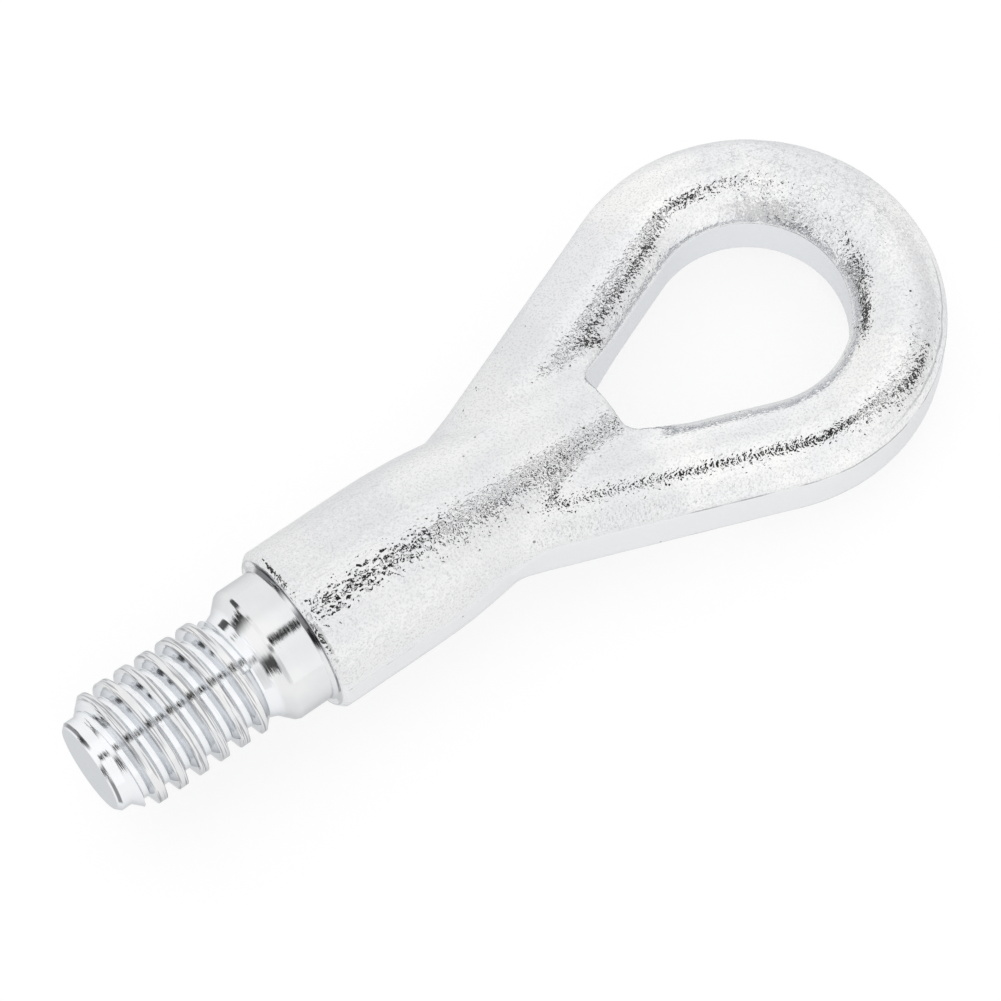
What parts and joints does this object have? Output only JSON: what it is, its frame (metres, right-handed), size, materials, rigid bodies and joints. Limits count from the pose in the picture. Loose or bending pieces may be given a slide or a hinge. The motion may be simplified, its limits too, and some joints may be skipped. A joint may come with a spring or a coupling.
{
  "type": "tow eye",
  "caption": "Screw-in tow eye: a forged steel teardrop ring on a tapering round shank, with a shoulder, a collar, a cone and a coarse right-hand thread.",
  "frame": {"origin": "centre of the flat seat of the shoulder, on the axis of the thread", "axes": "+X along the axis from the thread tip to the eye, +Z square to the plane of the eye"},
  "size_m": [0.1224, 0.048, 0.022],
  "materials": {
    "zinc_steel": "bright zinc plate, grainy over the forged skin and smooth over the turned end"
  },
  "bodies": {
    "root": {"tow_eye": "zinc_steel"}
  },
  "joints": []
}
